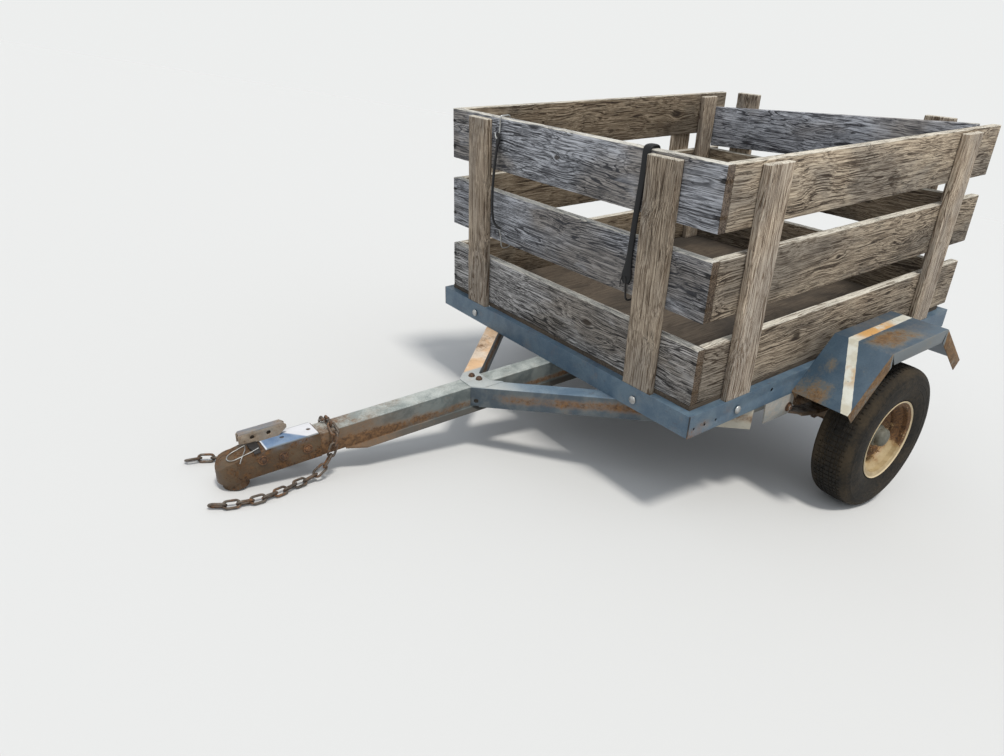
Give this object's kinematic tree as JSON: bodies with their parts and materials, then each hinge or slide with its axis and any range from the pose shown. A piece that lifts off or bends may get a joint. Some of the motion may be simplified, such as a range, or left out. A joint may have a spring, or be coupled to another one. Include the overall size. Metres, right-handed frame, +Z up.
{
  "type": "small utility trailer with wooden stake sides",
  "caption": "Single-axle utility trailer with a folded steel frame, slatted wooden sides, a lift-out tailgate, steel fenders and a ball coupler, parked on its coupler.",
  "frame": {"origin": "centre of the footprint box on the floor", "axes": "+X forward towards the coupler, +Y to the trailer's left, +Z up"},
  "size_m": [2.1336, 1.37, 1.0602],
  "materials": {
    "weathered_board": "weathered grey-brown sawn board",
    "stake_wood": "weathered tan sawn stake",
    "plywood": "dark weathered plywood",
    "blue_paint": "faded slate blue paint with rust",
    "rusty_steel": "rusty brown steel",
    "bare_steel": "dark dull steel",
    "cream_rim": "cream paint with rust",
    "tyre": "dusty worn rubber",
    "strap_rubber": "black rubber"
  },
  "bodies": {
    "chassis": {"rail_front": "blue_paint", "rail_rear": "blue_paint", "rail_left": "blue_paint", "rail_right": "blue_paint", "cross_member": "blue_paint", "deck": "plywood", "board_front_1": "weathered_board", "board_left_1": "weathered_board", "board_right_1": "weathered_board", "board_front_2": "weathered_board", "board_left_2": "weathered_board", "board_right_2": "weathered_board", "board_front_3": "weathered_board", "board_left_3": "weathered_board", "board_right_3": "weathered_board", "stake_front_left": "stake_wood", "stake_front_right": "stake_wood", "stake_side_front_left": "stake_wood", "stake_side_front_right": "stake_wood", "stake_side_rear_left": "stake_wood", "stake_side_rear_right": "stake_wood", "cleat_left": "stake_wood", "cleat_right": "stake_wood", "tongue": "blue_paint", "brace_left": "blue_paint", "brace_right": "blue_paint", "coupler_body": "rusty_steel", "coupler_lever": "blue_paint", "axle": "bare_steel", "leaf_spring_left": "bare_steel", "leaf_spring_right": "bare_steel", "spring_hanger_front_left": "bare_steel", "spring_hanger_front_right": "bare_steel", "spring_hanger_rear_left": "bare_steel", "spring_hanger_rear_right": "bare_steel", "axle_clamp_left": "bare_steel", "axle_clamp_right": "bare_steel", "fender_left": "blue_paint", "fender_right": "blue_paint", "strap_hooks_left": "rusty_steel", "strap_left": "strap_rubber", "strap_hooks_right": "rusty_steel", "strap_right": "strap_rubber", "safety_chain_left": "rusty_steel", "safety_chain_right": "rusty_steel"},
    "wheel_left": {"tyre_left": "tyre", "rim_left": "cream_rim", "hub_left": "bare_steel"},
    "wheel_right": {"tyre_right": "tyre", "rim_right": "cream_rim", "hub_right": "bare_steel"},
    "gate": {"gate_board_1": "weathered_board", "gate_board_2": "weathered_board", "gate_board_3": "weathered_board", "gate_stake_left": "stake_wood", "gate_stake_right": "stake_wood"}
  },
  "joints": [
    {"name": "wheel_left_spin", "type": "hinge", "parent": "chassis", "child": "wheel_left", "pos_m": [-0.54215, 0.6255, 0.207], "axis": [0, 1, 0], "continuous": true},
    {"name": "wheel_right_spin", "type": "hinge", "parent": "chassis", "child": "wheel_right", "pos_m": [-0.54215, -0.6255, 0.207], "axis": [0, 1, 0], "continuous": true},
    {"name": "gate_lift", "type": "slide", "parent": "chassis", "child": "gate", "axis": [0.181, 0, 0.9835], "range_m": [0, 0.55]}
  ]
}
